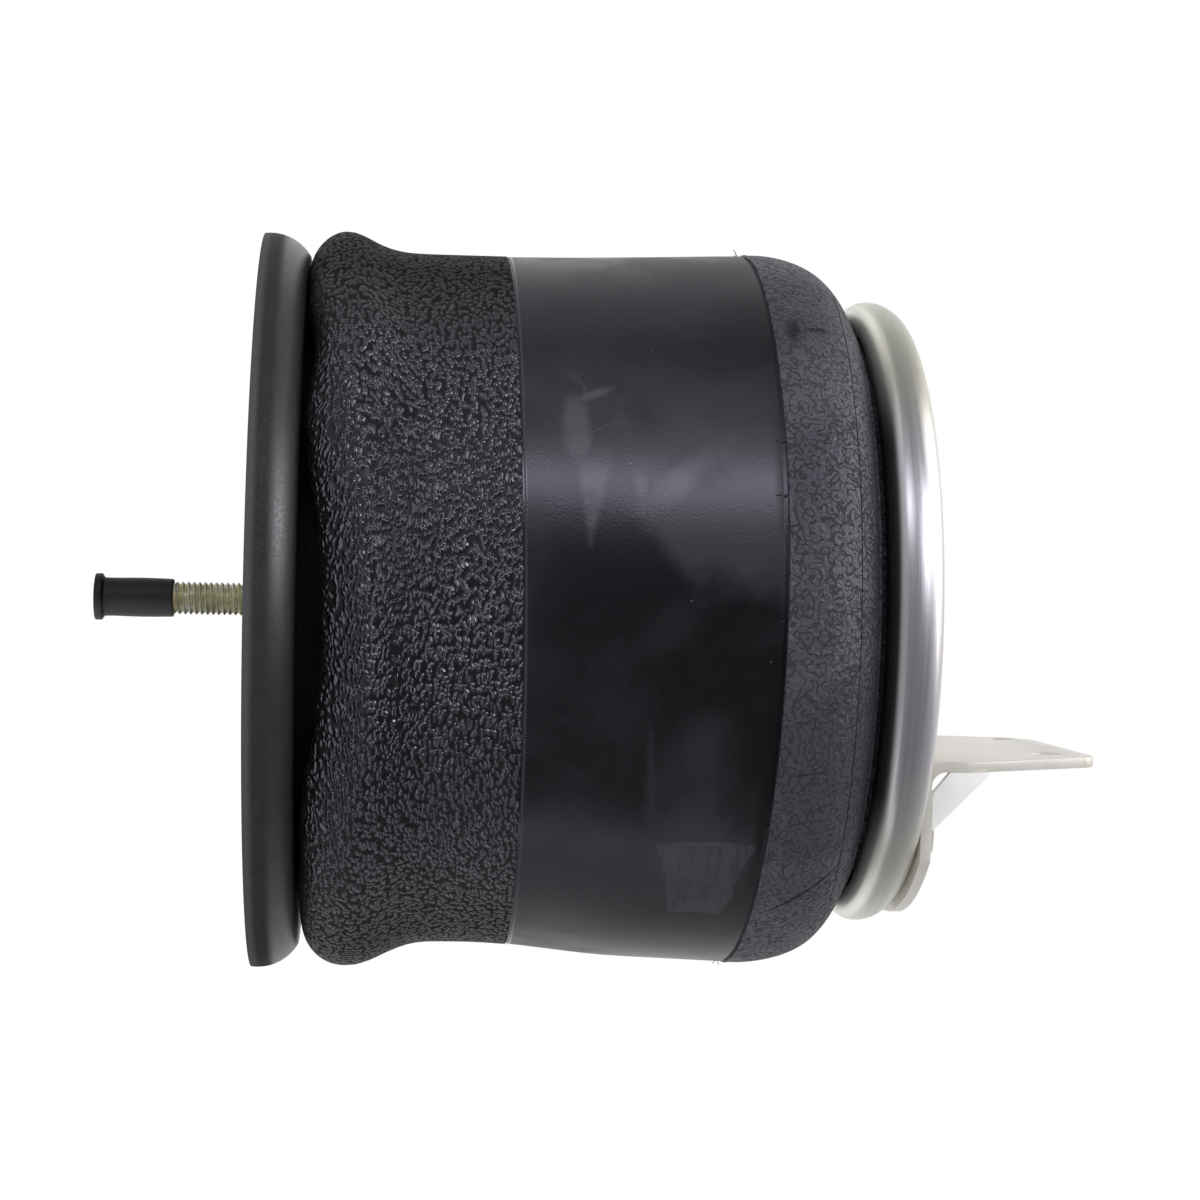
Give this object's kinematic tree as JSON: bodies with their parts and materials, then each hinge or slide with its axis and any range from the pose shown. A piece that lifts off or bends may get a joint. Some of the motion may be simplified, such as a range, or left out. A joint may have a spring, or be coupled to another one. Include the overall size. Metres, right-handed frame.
{
  "type": "air suspension spring",
  "caption": "Rolling-lobe air suspension spring with a flared piston, grained rubber sleeve, rolled-rim bead plate and bolt-on bracket.",
  "frame": {"origin": "centre of the piston's base face, on the spring's axis", "axes": "+Z along the spring's axis from the piston to the bead plate, +X towards the bracket's leg"},
  "size_m": [0.2118, 0.2118, 0.2861],
  "materials": {
    "moulded_piston": "satin black moulded composite",
    "bare_steel": "turned steel",
    "yellow_zinc": "yellow zinc-plated thread",
    "seal_rubber": "soft black rubber",
    "bead_wire": "brass-coated wire",
    "bump_rubber": "firm black rubber",
    "sleeve_rubber": "black rubber, grained and smooth",
    "zinc_plate": "bright zinc plate",
    "bracket_zinc": "pale zinc-plated sheet",
    "cap_vinyl": "soft black vinyl"
  },
  "bodies": {
    "piston": {"piston": "moulded_piston", "piston_insert": "bare_steel", "piston_stud": "yellow_zinc", "stud_washer": "yellow_zinc", "stud_nut": "yellow_zinc", "stud_seal": "seal_rubber", "end_closure": "bare_steel", "lower_bead_core": "bead_wire", "bump_stop": "bump_rubber", "bump_stop_washer": "zinc_plate", "bump_stop_screw": "zinc_plate"},
    "sleeve": {"flexible_sleeve": "sleeve_rubber"},
    "bead_plate": {"bead_plate": "zinc_plate", "upper_bead_core": "bead_wire", "air_port_boss": "zinc_plate", "plate_stud_near": "zinc_plate", "plate_stud_far": "zinc_plate", "plate_nut_near": "zinc_plate", "plate_nut_far": "zinc_plate", "bracket": "bracket_zinc", "bracket_gusset_near": "bracket_zinc", "bracket_gusset_far": "bracket_zinc"},
    "cap": {"stud_cap": "cap_vinyl"}
  },
  "joints": [
    {"name": "lobe_roll", "type": "slide", "parent": "piston", "child": "sleeve", "axis": [0, 0, 1], "range_m": [0, 0.05], "deforming": ["flexible_sleeve"]},
    {"name": "stroke", "type": "slide", "parent": "sleeve", "child": "bead_plate", "axis": [0, 0, 1], "range_m": [0, 0.05]},
    {"name": "cap_pull", "type": "slide", "parent": "piston", "child": "cap", "axis": [0, 0, -1], "range_m": [0, 0.06]}
  ],
  "couplings": [
    {"joint": "stroke", "follows": "lobe_roll", "ratio": 1}
  ]
}
